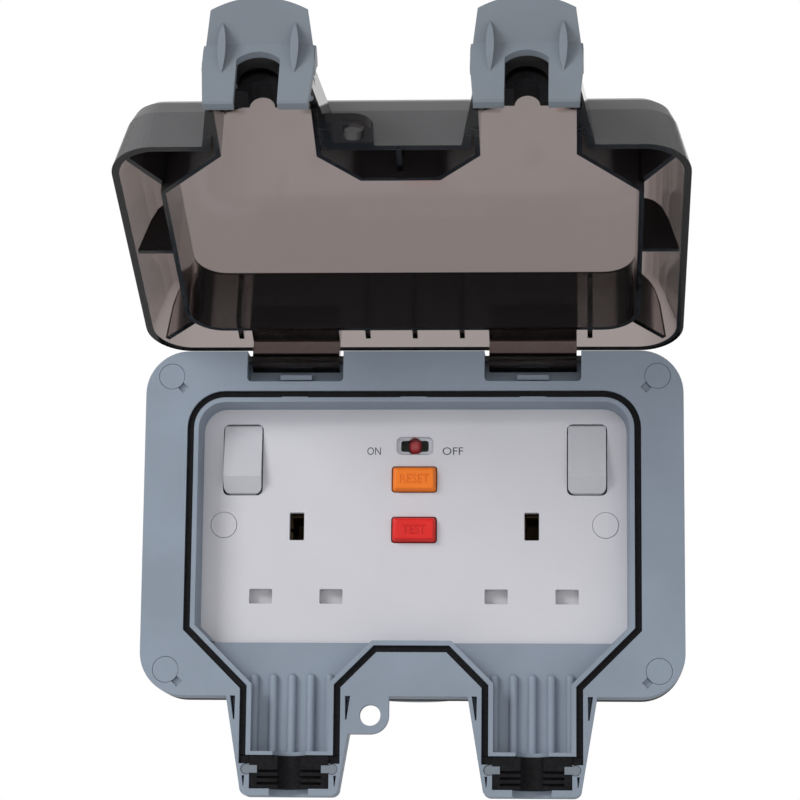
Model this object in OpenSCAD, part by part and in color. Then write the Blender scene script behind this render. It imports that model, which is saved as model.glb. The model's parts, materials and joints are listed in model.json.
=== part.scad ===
// Twin weatherproof wall socket with a residual current device and a hinged cover.
// X runs to the right, +Z is up and the front faces -Y. The rear mounting face lies on y = 0.

/* [Frame] */
// Width of the front frame
frame_w = 169.4; // [165:0.2:180]
// Height of the front frame without its two legs
frame_h = 109; // [106:0.5:116]
// Depth of the front frame
frame_depth = 9.8; // [9.8:0.2:14]
// Outer corner radius of the front frame
frame_corner_r = 13.6; // [12:0.2:16]
// Thickness of the frame's front skin
frame_skin = 2.6; // [2.2:0.1:3]
// Thickness of the frame's outer wall
frame_wall = 2.4; // [2:0.1:3]

/* [Recess and gasket] */
// Distance from the side of the frame to the gasket line
seal_edge_side = 14.4; // [13.8:0.1:15]
// Distance from the top of the frame to the gasket line
seal_edge_top = 13.8; // [13.6:0.1:14.4]
// Height over the foot of the frame at which the gasket line turns towards the legs
seal_corner_up = 21; // [20:0.1:21.5]
// Height of the gasket line between the legs over the foot of the frame
seal_mid_up = 14.8; // [14.3:0.1:15]
// Half length of the gasket line between the legs
seal_mid_half = 11.3; // [10:0.1:12]
// Radius of the gasket line at its upper corners
seal_corner_r = 10.8; // [9:0.2:12]
// Width of the gasket groove
groove_w = 2.1; // [1.8:0.1:2.2]
// Depth of the gasket groove
groove_depth = 4; // [3.5:0.1:4.5]
// Thickness of the gasket in its groove
gasket_h = 3; // [2.6:0.1:3]
// Width of the rim between the groove and the recess
rim_w = 1.5; // [1.3:0.1:1.7]
// Depth from the front of the frame to the face of the socket plate
plate_recess = 9.4; // [9:0.1:9.4]
// Depth from the front of the frame to the floor of the legs
floor_depth = 7.8; // [7:0.1:8]

/* [Legs] */
// Distance from the centre to the middle of each leg
leg_x = 37.5; // [37:0.1:38]
// Half width of the gasket line in a leg
leg_seal_half = 14.6; // [14.4:0.1:15]
// Length of the legs below the frame
leg_length = 30.7; // [30.5:0.1:33]
// Half width of a leg at its lower end
leg_end_half = 15.3; // [14.9:0.1:15.6]
// Half width of a leg at its upper end
leg_top_half = 20; // [19.6:0.1:20.6]
// Corner radius at the end of a leg
leg_corner_r = 2.6; // [2:0.1:3]
// Thickness of the wall across the end of a leg
leg_end_wall = 2.2; // [2:0.1:2.6]
// Length of a leg's cable seal
cable_seal_len = 10.3; // [9.5:0.1:10.6]
// Half width of a leg's cable seal
cable_seal_half = 12.3; // [12:0.1:12.4]
// Depth of a leg's cable seal
cable_seal_depth = 8; // [7:0.1:8.2]
// Radius of the round cable opening
cable_r = 6.1; // [5.5:0.1:6.4]
// Number of ribs on the floor of a leg
rib_count = 5; // [3:1:5]
// Distance between the ribs on the floor of a leg
rib_pitch = 5.9; // [5:0.1:6]
// Width of a rib on the floor of a leg
rib_w = 2.8; // [2:0.1:3]
// Height of a rib above the floor of a leg
rib_h = 2; // [1:0.1:2.4]

/* [Padlock tabs] */
// Distance of the padlock hole to the left of the centre
padlock_x = 12.6; // [12.4:0.1:13]
// Distance of the padlock hole below the foot of the frame
padlock_drop = 5.8; // [5.5:0.1:6.5]
// Diameter of the padlock hole
padlock_d = 6.5; // [5:0.1:7]
// Outer radius of the padlock tab
padlock_r = 5.8; // [5:0.1:6.2]
// Thickness of the padlock tab
padlock_t = 3; // [2:0.1:4]

/* [Fixings] */
// Distance from the side of the frame to its screws
frame_screw_side = 8.1; // [7.9:0.1:8.9]
// Distance from the top and foot of the frame to its screws
frame_screw_end = 8.1; // [8:0.1:8.7]
// Diameter of a frame screw
frame_screw_d = 3.6; // [3:0.1:4]
// Diameter of a frame screw's cap
corner_cap_d = 8; // [7.6:0.1:8.6]
// Diameter of a box fixing hole
wall_hole_d = 5; // [4.5:0.1:6]
// Distance from the side of the frame to the box fixing holes
wall_hole_side = 24.7; // [22.7:0.5:34.7]
// Distance from the top and foot of the frame to the box fixing holes
wall_hole_end = 16.5; // [14.5:0.5:20.5]

/* [Back box] */
// Depth of the back box
box_depth = 39; // [38:0.5:50]
// Distance from the outline of the frame to the outline of the box
box_inset = 3.4; // [3:0.1:3.6]
// Thickness of the box walls
box_wall = 2.6; // [2.2:0.1:3]
// Thickness of the rear wall of the box
box_rear = 3; // [2.5:0.1:4]
// Outer corner radius of the box
box_corner_r = 8; // [7:0.2:9]
// Diameter of a conduit entry
entry_d = 20; // [16:0.5:21]
// Thickness of the box gasket between box and frame
box_seal_web = 1.2; // [0.8:0.1:2]
// Depth of the skirt of the box gasket
box_seal_skirt = 6; // [4:0.5:8]

/* [Socket plate] */
// Distance from the side of the frame to the side of the socket plate
plate_side = 11.7; // [10.7:0.1:12.7]
// Distance from the top and foot of the frame to the edge of the socket plate
plate_end = 12; // [11.8:0.1:12.5]
// Overall depth of the socket plate with its rim
plate_depth = 8; // [7:0.5:9]
// Thickness of the face of the socket plate
plate_t = 3; // [2.5:0.1:3.5]
// Height of the middle of the plate over the centre of the box
plate_z = 0.3; // [0:0.1:0.5]
// Distance from the side of the plate to a plate screw
plate_screw_side = 12.7; // [12.5:0.1:13]
// Half distance between the two sockets
socket_x = 37.1; // [36:0.1:38]
// Distance between the live and neutral pins, and from them up to the earth pin
pin_pitch = 22.23; // [22:0.01:22.5]
// Height of the earth apertures over the foot of the plate
earth_up = 42.1; // [40.5:0.1:43.5]

/* [Switches and buttons] */
// Distance from the side of the plate to the middle of a rocker
rocker_side = 18.5; // [18:0.1:19]
// Distance from the top of the plate to a rocker's pivot
rocker_down = 21.6; // [21.1:0.1:21.9]
// Width of a rocker
rocker_w = 12; // [11:0.1:12.6]
// Height of a rocker
rocker_h = 21.8; // [21:0.1:22]
// Angle by which a rocker is tilted off the level at rest
rocker_tilt = 6; // [4:0.5:7]
// Width of a push button
button_w = 13.8; // [13:0.1:15]
// Height of a push button
button_h = 7.8; // [7:0.1:8.4]
// Height by which a push button stands out of the plate
button_proud = 2.4; // [2:0.1:2.6]
// Distance from the top of the plate to the indicator window
window_down = 17.1; // [16.5:0.1:17.5]
// Distance from the indicator window down to the reset button
reset_down = 10.8; // [10.6:0.1:11.2]
// Distance from the reset button down to the test button
test_down = 16.1; // [14.6:0.1:17]
// Width of the indicator window
window_w = 11.4; // [10:0.1:12]
// Height of the indicator window
window_h = 5.6; // [5:0.1:6]

/* [Cover] */
// Gap between the closed cover and the frame
lid_gap = 0.5; // [0.3:0.1:0.8]
// Depth of the cover
lid_depth = 22.2; // [21:0.1:26]
// Thickness of the cover's outer wall
lid_wall = 2.2; // [1.8:0.1:2.6]
// Thickness of the cover's face
lid_face = 2.5; // [2:0.1:3]
// Amount by which the closed cover stands over the top of the frame
lid_over = 0.8; // [0.5:0.1:1.2]
// Angle at which the cover stands open
lid_open = 111; // [100:1:118]
// Height of the hinge axis below the top of the frame
hinge_drop = 1.9; // [1.8:0.05:2.2]
// Distance of the hinge axis behind the front of the frame
hinge_back = 4.6; // [4.4:0.1:4.8]
// Diameter of a hinge pin
hinge_pin_d = 2.4; // [2:0.1:2.6]
// Width of a hinge pocket in the frame
pocket_w = 30.4; // [30:0.1:31]
// Width of a hinge knuckle on the cover
knuckle_w = 27.6; // [26:0.1:28.4]
// Height of a hinge pocket
pocket_h = 9.7; // [9.4:0.1:10]
// Thickness of the sealing wall inside the cover
seal_wall = 1.5; // [1.2:0.1:1.6]

/* [Latches] */
// Depth from the rim of the cover to the latch pin
latch_pin_depth = 12.3; // [12:0.1:13]
// Height of the latch pin above the lower end of a leg
latch_pin_up = 4.7; // [4.4:0.1:5.2]
// Diameter of a latch pin
latch_pin_d = 2.4; // [2:0.1:2.6]
// Thickness of a latch
latch_t = 2.4; // [2:0.1:2.8]
// Half width of a latch over its side ears
latch_half = 15.8; // [15.6:0.1:16.4]
// Length of a latch from its bend to its tip
latch_tab = 14; // [11:0.5:16]
// Angle between the two halves of a latch
latch_bend = 40; // [30:1:50]
// Angle by which a latch hangs free of its hooked place at rest
latch_slack = 4.5; // [4:0.1:6]

/* [Hidden] */
$fn = 48;
// Overshoot of the cutting shapes
eps = 1;
// Sides of the small rounded shapes
fine_fn = 32;
SIDES = [-1, 1];

// Running clearance between moving pieces
running = 0.3;
// Clearance between pieces that are fitted together
fit = 0.1;

front_y = -(box_depth + box_seal_web + frame_depth);
frame_rear_y = front_y + frame_depth;
half_w = frame_w / 2;
half_h = frame_h / 2;
plate_w = frame_w - 2 * plate_side;
plate_h = frame_h - 2 * plate_end;
frame_screw_x = half_w - frame_screw_side;
frame_screw_z = half_h - frame_screw_end;
wall_hole_x = half_w - wall_hole_side;
wall_hole_z = half_h - wall_hole_end;
plate_y = front_y + plate_recess;
floor_y = front_y + floor_depth;
gasket_y = front_y + groove_depth - gasket_h;
box_half_w = half_w - box_inset;
box_half_h = half_h - box_inset;

// Outlines of the recess, the groove and the rim
seal_half_w = half_w - seal_edge_side;
seal_top = half_h - seal_edge_top;
seal_corner_z = -half_h + seal_corner_up;
seal_mid_z = -half_h + seal_mid_up;
leg_bottom = -half_h - leg_length;
padlock_z = half_h + padlock_drop;
leg_out = leg_x + leg_seal_half;
leg_in = leg_x - leg_seal_half;
diag_out_z = seal_corner_z - (seal_half_w - leg_out);
diag_in_z = seal_mid_z - (leg_in - seal_mid_half);
recess_inset = groove_w / 2 + rim_w;
recess_slope = 0.9;
plate_open_bottom = seal_mid_z + recess_inset;
plate_open_top = seal_top - recess_inset;
leg_slope = (leg_top_half - leg_end_half) / leg_length;
cable_seal_bottom = leg_bottom + leg_end_wall;
cable_seal_top = cable_seal_bottom + cable_seal_len;
channel_end = cable_seal_top + 1.2;
shoulder_h = 2.6;
shoulder_half = leg_seal_half + groove_w / 2;
holder_z = cable_seal_top - shoulder_h - 1.7;
holder_r = 1.6;
holder_x = cable_seal_half + 1;
holder_depth = cable_seal_depth - 1;
// Depth down to the bar that joins the two heads of a holder
holder_bar = 5.2;

// Hinge and cover
hinge_y = front_y + hinge_back;
hinge_z = half_h - hinge_drop;
barrel_r = 2.7;
knuckle_tail = 4;
pocket_floor = 0.8;
lid_rim_y = front_y - lid_gap;
lid_top = half_h + lid_over;
lid_leg_bottom = leg_bottom + 1.2;
lid_leg_root_z = seal_corner_z + 3.5;
// Distance by which a leg of the cover is narrower on each side than the frame's
lid_leg_margin = 0.4;
lid_inner = lid_depth - lid_face;
tongue = 1.2;
shelf_t = 1.5;
leg_top_z = cable_seal_top + fit;
sheet = 0.02;
shelf_depth = 9;
lid_draft = 0.12;
lid_seal_bottom = lid_leg_bottom + lid_wall + lid_draft * shelf_depth + fit;
latch_pin_y = lid_rim_y - latch_pin_depth;
latch_pin_z = leg_bottom + latch_pin_up;
latch_inner_z = leg_bottom - running;
latch_ear_t = 1.1;

// Plate and mechanism
screw_x = plate_w / 2 - plate_screw_side;
earth_z = -plate_h / 2 + earth_up;
rocker_x = plate_w / 2 - rocker_side;
rocker_z = plate_h / 2 - rocker_down;
window_z = plate_h / 2 - window_down;
reset_z = window_z - reset_down;
test_z = reset_z - test_down;
line_z = plate_z + earth_z - pin_pitch;
plate_back_y = plate_y + plate_t;
boss_r = 4.6;
corner_boss_r = 3.2;
case_side = 6;
case_end = 6.5;
case_w = plate_w - 2 * case_side;
case_h = plate_h - 2 * case_end;
case_depth = 27;
case_wall = 2;
case_y = plate_back_y + fit;
case_back_y = case_y + case_depth - case_wall;
contact_y = case_y + 6;
strap_t = 1;
bay_half = 19.8;
terminal_z = plate_z - case_h / 2 + 9;
sensing_z = terminal_z + 15.5;
trip_z = sensing_z + 17.5;
rocker_y = plate_y + 1.2;
rocker_pivot = 3.4;
rocker_foot = 6;
// Distance from a rocker's pivot to the face of the plate, and the radius on which its ends turn
rocker_rise = rocker_y + rocker_pivot - plate_y;
rocker_r = norm([rocker_h / 2, rocker_rise]);
rocker_lip = 0.5;
blade_y = case_y + 17;
board_y = case_y + 19;
flag_r = 2.1;
flag_y = plate_back_y + running + flag_r;
window_ledge = 1.3;
carriage_y = flag_y + 2.2;
shutter_t = 2.2;
shutter_half = 15.3;
shutter_up = 6;
shutter_stop_z = plate_z + earth_z - 5.6;

// Runs a flat XZ outline from y0 back to y1
module slab(y0, y1) {
    translate([0, y1, 0])
    rotate([90, 0, 0])
    linear_extrude(y1 - y0)
    children();
}

// Runs an outline drawn as (y, z) along X, centred on x
module bar_x(x, w) {
    translate([x - w / 2, 0, 0])
    rotate([90, 0, 90])
    linear_extrude(w)
    children();
}

// Round bar along Y from y0 back to y1
module pin_y(x, z, r, y0, y1) {
    translate([x, y1, z])
    rotate([90, 0, 0])
    cylinder(r = r, h = y1 - y0);
}

// Round bar along X, centred on x
module pin_x(x, y, z, r, w) {
    translate([x - w / 2, y, z])
    rotate([0, 90, 0])
    cylinder(r = r, h = w);
}

// Rounded rectangle centred on x, z
module rounded(w, h, r, x = 0, z = 0) {
    translate([x, z]) {
        square([w - 2 * r, h], center = true);
        square([w, h - 2 * r], center = true);
        for (i = SIDES, j = SIDES)
            translate([i * (w / 2 - r), j * (h / 2 - r)])
            circle(r);
    }
}

module rect(x0, z0, x1, z1) {
    translate([x0, z0])
    square([x1 - x0, z1 - z0]);
}

module block(x0, y0, z0, x1, y1, z1) {
    translate([x0, y0, z0])
    cube([x1 - x0, y1 - y0, z1 - z0]);
}

function arc(cx, cz, r, a0, a1, n = 10) =
    [for (i = [0:n]) let (a = a0 + (a1 - a0) * i / n) [cx + r * cos(a), cz + r * sin(a)]];

// Closed line of the gasket, with the legs running down to foot_z
function seal_line(foot_z) = concat(
    [[-leg_out, foot_z], [-leg_out, diag_out_z], [-seal_half_w, seal_corner_z]],
    arc(-seal_half_w + seal_corner_r, seal_top - seal_corner_r, seal_corner_r, 180, 90),
    arc(seal_half_w - seal_corner_r, seal_top - seal_corner_r, seal_corner_r, 90, 0),
    [[seal_half_w, seal_corner_z], [leg_out, diag_out_z], [leg_out, foot_z]],
    [[leg_in, foot_z], [leg_in, diag_in_z], [seal_mid_half, seal_mid_z]],
    [[-seal_mid_half, seal_mid_z], [-leg_in, diag_in_z], [-leg_in, foot_z]]);

module seal_area(grow, foot_z) {
    offset(delta = grow)
    polygon(seal_line(foot_z));
}

// Strip of width w along the gasket line, open at the feet of the legs
module seal_strip(w, foot_z) {
    difference() {
        seal_area(w / 2, foot_z - 10);
        seal_area(-w / 2, foot_z - 10);
        rect(-half_w, foot_z - 30, half_w, foot_z);
    }
}

// Outline of one leg about its own middle, from its end up to top_z
module leg_outline(bottom, top_z, shrink = 0) {
    end = leg_end_half - shrink;
    top = end + leg_slope * (top_z - bottom);
    r = leg_corner_r;
    for (i = SIDES)
        translate([i * (end - r), bottom + r])
        circle(r);
    rect(-end + r, bottom, end - r, bottom + r);
    polygon([[-end, bottom + r], [end, bottom + r], [top, top_z], [-top, top_z]]);
}

module at_legs() {
    for (i = SIDES)
        translate([i * leg_x, 0, 0])
        children();
}

module leg_side(side) {
    translate([side * leg_x, 0, 0])
    children();
}

module at_corners() {
    for (i = SIDES, j = SIDES)
        translate([i * frame_screw_x, 0, j * frame_screw_z])
        children();
}

// Padlock tab seen from the front, without its hole
module padlock_outline(bottom_x) {
    translate([-padlock_x, -padlock_z])
    circle(padlock_r);
    rect(bottom_x, -padlock_z - padlock_r, -padlock_x, -half_h + eps);
    rect(-padlock_x, -padlock_z, -padlock_x + padlock_r, -half_h + eps);
}

// Front frame
module frame_shell() {
    difference() {
        slab(front_y, frame_rear_y)
        rounded(frame_w, frame_h, frame_corner_r);
        slab(front_y + frame_skin, frame_rear_y + eps)
        rounded(frame_w - 2 * frame_wall, frame_h - 2 * frame_wall, frame_corner_r - frame_wall);
    }
}

module hinge_pocket_cut() {
    floor = frame_rear_y - pocket_floor;
    r = 1.3;
    z0 = half_h - pocket_h;
    for (i = SIDES)
        translate([i * leg_x, 0, 0]) {
            block(-pocket_w / 2, front_y - eps, z0 + r, pocket_w / 2, floor, half_h + eps);
            block(-pocket_w / 2 + r, front_y - eps, z0, pocket_w / 2 - r, floor, half_h);
            for (j = SIDES)
                pin_y(j * (pocket_w / 2 - r), z0 + r, r, front_y - eps, floor);
        }
}

module leg_solid() {
    slab(front_y, frame_rear_y)
    leg_outline(leg_bottom, -half_h + eps);
}

// Core-outs in the sides of a leg, about its own middle
module leg_core_cuts() {
    for (i = SIDES) {
        slab(front_y - eps, front_y + 6)
        polygon([[i * 18.7, -half_h + 0.1], [i * 17.1, -half_h + 0.1],
            [i * 17.2, -half_h - 7.2], [i * 17.6, -half_h - 7.2]]);
        slab(front_y - eps, front_y + 5)
        polygon([[i * 14.6, holder_z - 2], [i * 13.8, holder_z - 2],
            [i * 14, holder_z - 5.2], [i * 14.2, holder_z - 5.2]]);
    }
}

// Room for the cable seal, its shoulders and its holder, about the middle of a leg
module cable_seal_cut() {
    block(-cable_seal_half, front_y - eps, cable_seal_bottom,
        cable_seal_half, front_y + cable_seal_depth, cable_seal_top);
    block(-shoulder_half, front_y - eps, cable_seal_top - shoulder_h,
        shoulder_half, front_y + groove_depth, cable_seal_top);
    translate([0, front_y, leg_bottom - eps])
    cylinder(r = cable_r, h = leg_end_wall + 2 * eps);
    holder_shape(front_y - eps, front_y + holder_depth, fit);
}

// Room over the bar of a cable seal's holder, which the rubber fills
module holder_gap(y0, y1, shrink = 0) {
    half = cable_seal_half - 2.4 - shrink;
    block(-half, y0, holder_z - 3, half, y1, holder_z + 3);
}

module holder_shape(y0, y1, grow = 0) {
    for (i = SIDES)
        pin_y(i * holder_x, holder_z, holder_r + grow, y0, y1);
    block(-holder_x, y0, holder_z - 1.2 - grow, holder_x, y1, holder_z + 1.2 + grow);
}

module floor_ribs() {
    top_z = diag_out_z + 3.4;
    for (k = [0:rib_count - 1]) {
        x = (k - (rib_count - 1) / 2) * rib_pitch;
        block(x - rib_w / 2, floor_y - rib_h + rib_w / 2, channel_end,
            x + rib_w / 2, floor_y + fit, top_z);
        translate([x, floor_y - rib_h + rib_w / 2, channel_end])
        cylinder(r = rib_w / 2, h = top_z - channel_end);
        translate([x, floor_y - rib_h + rib_w / 2, top_z])
        sphere(rib_w / 2);
    }
}

module plate_opening(shrink) {
    difference() {
        seal_area(-recess_inset - shrink, cable_seal_top);
        rect(-half_w, leg_bottom - 10, half_w, plate_open_bottom);
    }
}

module front_frame() {
    tab_w = 8.2;
    color("#86919f") {
        difference() {
            union() {
                frame_shell();
                slab(front_y, plate_y - fit)
                seal_area(groove_w / 2 + 1.2, cable_seal_top + 1.2);
                at_legs()
                leg_solid();
                at_corners()
                pin_y(0, 0, 5.6, front_y, frame_rear_y);
                for (i = SIDES)
                    block(i * leg_x - pocket_w / 2 - 2, front_y, half_h - pocket_h - 1.6,
                        i * leg_x + pocket_w / 2 + 2, frame_rear_y, half_h - fit);
                slab(front_y, front_y + padlock_t)
                padlock_outline(-leg_x + leg_end_half);
            }
            // Opening over the plate, whose wall slopes in towards the plate
            hull()
            for (k = [[front_y - fit, 0], [plate_y - fit, recess_slope], [frame_rear_y + eps, recess_slope]])
                slab(k[0], k[0] + sheet)
                plate_opening(k[1]);
            // Channels from the plate down the legs
            intersection() {
                slab(front_y - eps, floor_y)
                seal_area(-recess_inset, leg_bottom - 10);
                block(-half_w, front_y - eps, channel_end, half_w, 0, plate_open_bottom + fit);
            }
            slab(front_y - eps, front_y + groove_depth)
            seal_strip(groove_w, cable_seal_top - shoulder_h);
            at_legs() {
                cable_seal_cut();
                leg_core_cuts();
                translate([0, front_y, cable_seal_top - fit])
                cylinder(r = cable_r - 1, h = channel_end - cable_seal_top + eps);
            }
            hinge_pocket_cut();
            at_corners() {
                pin_y(0, 0, frame_screw_d / 2 + 0.2, front_y - eps, frame_rear_y + eps);
                pin_y(0, 0, corner_cap_d / 2 + fit, front_y - eps, front_y + 5.4);
            }
            for (i = SIDES, j = SIDES)
                translate([i * frame_screw_x, 0, j * frame_screw_z])
                rotate([0, i * 45, 0])
                block(-1.2, front_y - eps, -6.3, 1.2, front_y + 1.1, -3);
            pin_y(-padlock_x, -padlock_z, padlock_d / 2, front_y - eps, frame_rear_y);
            for (i = SIDES)
                pin_x(i * leg_x, hinge_y, hinge_z, hinge_pin_d / 2 + fit / 2, pocket_w + 8);
        }
        // Tabs on the rim that hold the gasket down
        for (x = [-leg_x, 0, leg_x])
            block(x - tab_w / 2, front_y, seal_top - recess_inset + rim_w - fit,
                x + tab_w / 2, front_y + 0.8, seal_top - seal_wall / 2 - fit);
        at_legs()
        floor_ribs();
        // Stay bars on which the open cover's knuckles ride
        for (i = SIDES)
            block(i * leg_x - 5, hinge_y - 1.2, half_h - pocket_h + 1,
                i * leg_x + 5, frame_rear_y - pocket_floor + fit, half_h - pocket_h + 2.6);
    }
}

module frame_gasket() {
    color("#1b1b1d")
    slab(gasket_y, front_y + groove_depth)
    seal_strip(groove_w - 2 * fit, cable_seal_top + fit);
}

// Rubber block in the end of a leg, with a half round trough for the flex
module cable_seal(side) {
    color("#1d1d1f")
    leg_side(side)
    difference() {
        union() {
            block(-cable_seal_half + fit, front_y + 0.4, cable_seal_bottom + fit,
                cable_seal_half - fit, front_y + cable_seal_depth, cable_seal_top - fit);
            block(-shoulder_half + fit, gasket_y, cable_seal_top - shoulder_h + fit,
                shoulder_half - fit, front_y + groove_depth, cable_seal_top - fit);
        }
        translate([0, front_y, cable_seal_bottom - eps])
        cylinder(r = 3.6, h = cable_seal_len + 2 * eps);
        for (k = [0:2])
            block(-cable_seal_half + 2.4, front_y - eps, cable_seal_bottom + 1.2 + k * 1.9,
                cable_seal_half - 2.4, front_y + 2.4, cable_seal_bottom + 2 + k * 1.9);
        difference() {
            holder_shape(front_y - eps, front_y + holder_depth, fit);
            holder_gap(front_y + 0.4, front_y + holder_bar - fit, fit);
        }
    }
}

module seal_holder(side) {
    color("#8b96a4")
    leg_side(side)
    difference() {
        holder_shape(front_y + 0.3, front_y + holder_depth - fit);
        holder_gap(front_y - eps, front_y + holder_bar);
    }
}

module hinge_pins() {
    color("#6e7378")
    for (i = SIDES)
        pin_x(i * leg_x, hinge_y, hinge_z, hinge_pin_d / 2, pocket_w + 7);
}

module frame_screws() {
    head_y = front_y + 5.4;
    color("#b9bcc0")
    at_corners()
    difference() {
        union() {
            pin_y(0, 0, 3.3, head_y - 2, head_y);
            pin_y(0, 0, frame_screw_d / 2, head_y - fit, -box_rear - 12);
        }
        block(-2.2, head_y - 3, -0.4, 2.2, head_y - 1, 0.4);
        block(-0.4, head_y - 3, -2.2, 0.4, head_y - 1, 2.2);
    }
}

module corner_caps() {
    color("#86919f")
    at_corners()
    pin_y(0, 0, corner_cap_d / 2, front_y + 0.1, front_y + 3.2);
}

// Back box
module box_hollow() {
    slab(front_y, -box_rear)
    rounded(2 * (box_half_w - box_wall), 2 * (box_half_h - box_wall), box_corner_r - box_wall);
}

module entry_places() {
    y = -box_depth / 2;
    translate([box_half_w, y, 0])
    rotate([0, 90, 0])
    children();
    translate([-box_half_w, y, 0])
    rotate([0, -90, 0])
    children();
    translate([0, y, -box_half_h])
    rotate([180, 0, 0])
    children();
}

module back_box() {
    color("#7d8894")
    difference() {
        union() {
            difference() {
                slab(-box_depth, 0)
                rounded(2 * box_half_w, 2 * box_half_h, box_corner_r);
                box_hollow();
            }
            at_corners()
            pin_y(0, 0, corner_boss_r, -box_depth, -box_rear + fit);
            for (i = SIDES)
                pin_y(i * screw_x, plate_z, boss_r, plate_back_y + fit, -box_rear + fit);
            for (i = SIDES, j = SIDES)
                pin_y(i * wall_hole_x, j * wall_hole_z, wall_hole_d / 2 + 2, -box_rear - 2, -box_rear + fit);
        }
        at_corners()
        pin_y(0, 0, frame_screw_d / 2 + fit / 2, -box_depth - eps, -box_rear - 11);
        for (i = SIDES)
            pin_y(i * screw_x, plate_z, 1.75 + fit / 2, plate_back_y - eps, -box_rear - 6);
        for (i = SIDES, j = SIDES)
            pin_y(i * wall_hole_x, j * wall_hole_z, wall_hole_d / 2, -box_rear - 2 - eps, eps);
        entry_places()
        translate([0, 0, -box_wall - eps])
        cylinder(d = entry_d, h = box_wall + 2 * eps);
    }
}

module entry_plugs() {
    color("#77828e")
    entry_places() {
        translate([0, 0, -box_wall - 2])
        cylinder(d = entry_d - 2 * fit, h = box_wall + 2);
        cylinder(d = entry_d + 4, h = 1.6);
    }
}

// Rubber channel pushed over the rim of the box
module box_gasket() {
    outer = box_inset - 0.1;
    color("#1a1a1c")
    difference() {
        slab(frame_rear_y, -box_depth + box_seal_skirt)
        rounded(2 * (box_half_w + outer), 2 * (box_half_h + outer), frame_corner_r - 0.1);
        slab(frame_rear_y - eps, -box_depth)
        rounded(2 * (box_half_w - box_wall), 2 * (box_half_h - box_wall), box_corner_r - box_wall);
        slab(-box_depth, 0)
        rounded(2 * box_half_w, 2 * box_half_h, box_corner_r);
        at_corners()
        pin_y(0, 0, frame_screw_d / 2 + 0.2, frame_rear_y - eps, -box_depth + eps);
    }
}

// Socket plate
module pin_apertures(y0, y1, grow = 0) {
    for (i = SIDES) {
        slab(y0, y1)
        rounded(4.6 + grow, 8.8 + grow, 0.4, i * socket_x, plate_z + earth_z);
        for (j = SIDES)
            slab(y0, y1)
            rounded(7.2 + grow, 4.6 + grow, 0.4, i * socket_x + j * pin_pitch / 2, line_z);
    }
}

module centre_cutouts() {
    for (z = [reset_z, test_z])
        slab(plate_y - eps, plate_back_y + eps)
        rounded(button_w + 2 * running, button_h + 2 * running, 1, 0, plate_z + z);
    slab(plate_y - eps, plate_y + window_ledge)
    rounded(window_w, window_h, 1.6, 0, plate_z + window_z);
    slab(plate_y - eps, plate_back_y + eps)
    window_hole(0);
}

// Hole under the window's ledge, wider in the middle for the flag
module window_hole(shrink) {
    rounded(window_w - 2 * (window_ledge + shrink), window_h - 2 - 2 * shrink, 0.8 - shrink,
        0, plate_z + window_z);
    translate([0, plate_z + window_z])
    circle(window_h / 2 - 0.1 - shrink);
}

module socket_plate() {
    color("#d9d9dd")
    difference() {
        union() {
            difference() {
                slab(plate_y, plate_y + plate_depth)
                rounded(plate_w, plate_h, 4, 0, plate_z);
                slab(plate_back_y, plate_y + plate_depth + eps)
                rounded(plate_w - 4, plate_h - 4, 3, 0, plate_z);
            }
            for (i = SIDES)
                block(i * socket_x - 2.4, plate_back_y - fit, shutter_stop_z,
                    i * socket_x + 2.4, plate_back_y + shutter_t + fit, shutter_stop_z + 1);
        }
        pin_apertures(plate_y - eps, plate_back_y + eps);
        centre_cutouts();
        for (i = SIDES) {
            slab(plate_y - eps, plate_back_y)
            rounded(rocker_w + 2 * running, 2 * (rocker_end(rocker_rise - rocker_lip) + running), 1.9,
                i * rocker_x, plate_z + rocker_z);
            slab(plate_y + rocker_lip, plate_back_y + eps)
            rounded(rocker_w + 2 * running, 2 * (rocker_r + running), 1,
                i * rocker_x, plate_z + rocker_z);
            pin_y(i * screw_x, plate_z, 1.9, plate_y - eps, plate_back_y + eps);
            pin_y(i * screw_x, plate_z, 4.15, plate_y - eps, plate_y + 1.4);
        }
    }
}

module plate_screws() {
    color("#c2b27a")
    for (i = SIDES)
        difference() {
            union() {
                pin_y(i * screw_x, plate_z, 3.2, plate_y + 0.9, plate_y + 1.4);
                pin_y(i * screw_x, plate_z, 1.75, plate_y + 1.3, -box_rear - 8);
            }
            block(i * screw_x - 2.6, plate_y, plate_z - 0.3, i * screw_x + 2.6, plate_y + 1.2, plate_z + 0.3);
        }
}

module plate_screw_caps() {
    color("#d6d6da")
    for (i = SIDES)
        pin_y(i * screw_x, plate_z, 4.05, plate_y - 0.2, plate_y + 0.8);
}

// Tray behind the plate that holds the working parts
module mechanism_case() {
    x = case_w / 2;
    z0 = plate_z - case_h / 2;
    z1 = plate_z + case_h / 2;
    y1 = case_y + case_depth;
    color("#c9c9c4")
    difference() {
        union() {
            difference() {
                block(-x, case_y, z0, x, y1, z1);
                block(-x + case_wall, case_y - eps, z0 + case_wall, x - case_wall, case_back_y, z1 - case_wall);
            }
            for (i = SIDES) {
                pin_y(i * screw_x, plate_z, boss_r + running + 1.4, case_y, y1);
                block(i * (bay_half + 0.8) - 0.8, case_y, z0 + 1, i * (bay_half + 0.8) + 0.8, y1 - 1, z1 - 1);
            }
        }
        for (i = SIDES)
            pin_y(i * screw_x, plate_z, boss_r + running, case_y - eps, y1 + eps);
        block(-bay_half - 3, case_back_y - strap_t - 0.4, plate_z + earth_z - 2.4,
            bay_half + 3, case_back_y, plate_z + earth_z + 2.4);
        for (k = [-1:1])
            pin_y(k * 13, terminal_z, 2.6, case_back_y - eps, y1 + eps);
    }
}

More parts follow.
